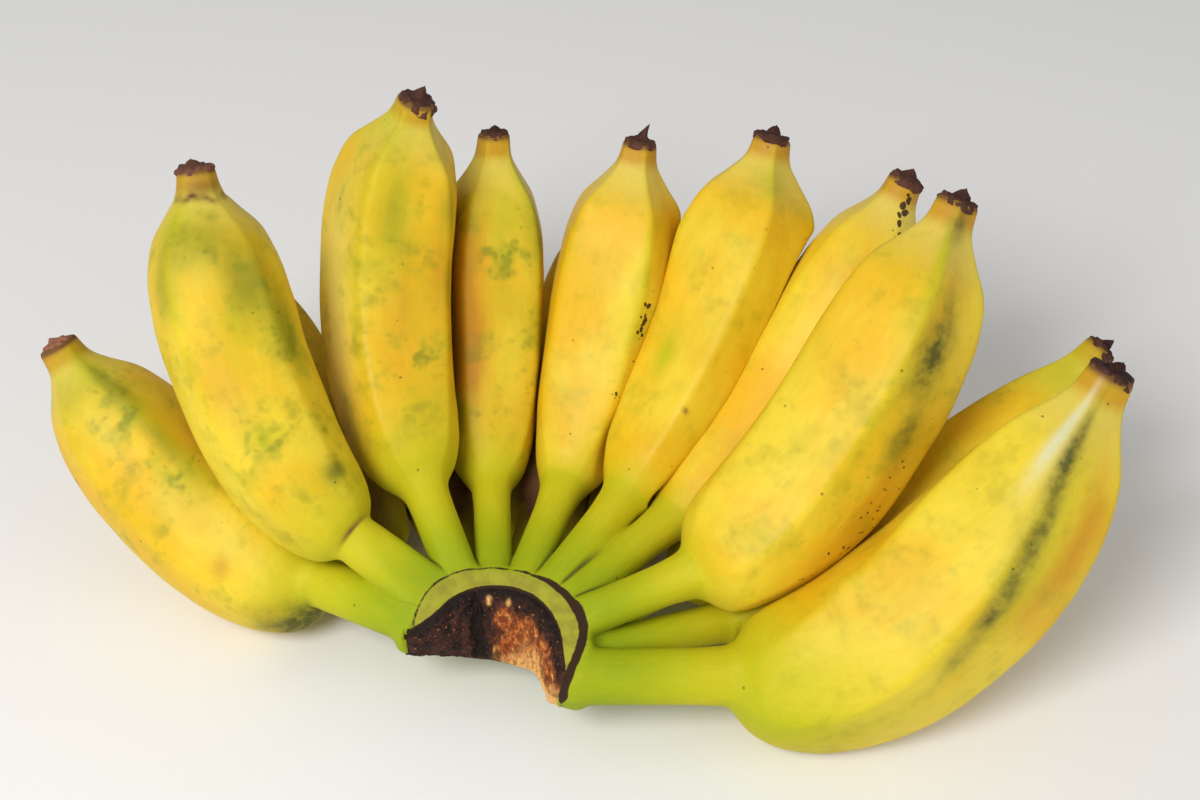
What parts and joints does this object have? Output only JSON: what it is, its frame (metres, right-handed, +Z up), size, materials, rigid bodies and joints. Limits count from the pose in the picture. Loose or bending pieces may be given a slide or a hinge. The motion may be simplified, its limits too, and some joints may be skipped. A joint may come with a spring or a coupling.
{
  "type": "banana hand",
  "caption": "Hand of short, plump ripe bananas that fans out and curves up from a crescent-shaped cut crown, lying cupped on the bellies of its lower row, with dried flower remains at the tips",
  "frame": {"origin": "on the ground, under the middle of the hand's box", "axes": "+X along the hand's spread, from its small end finger to its large one; +Y from the cut crown towards the finger tips behind it; +Z up"},
  "size_m": [0.324, 0.1763, 0.1394],
  "materials": {
    "peel": "waxy satin peel"
  },
  "bodies": {
    "root": {"banana_hand": "peel"}
  },
  "joints": []
}
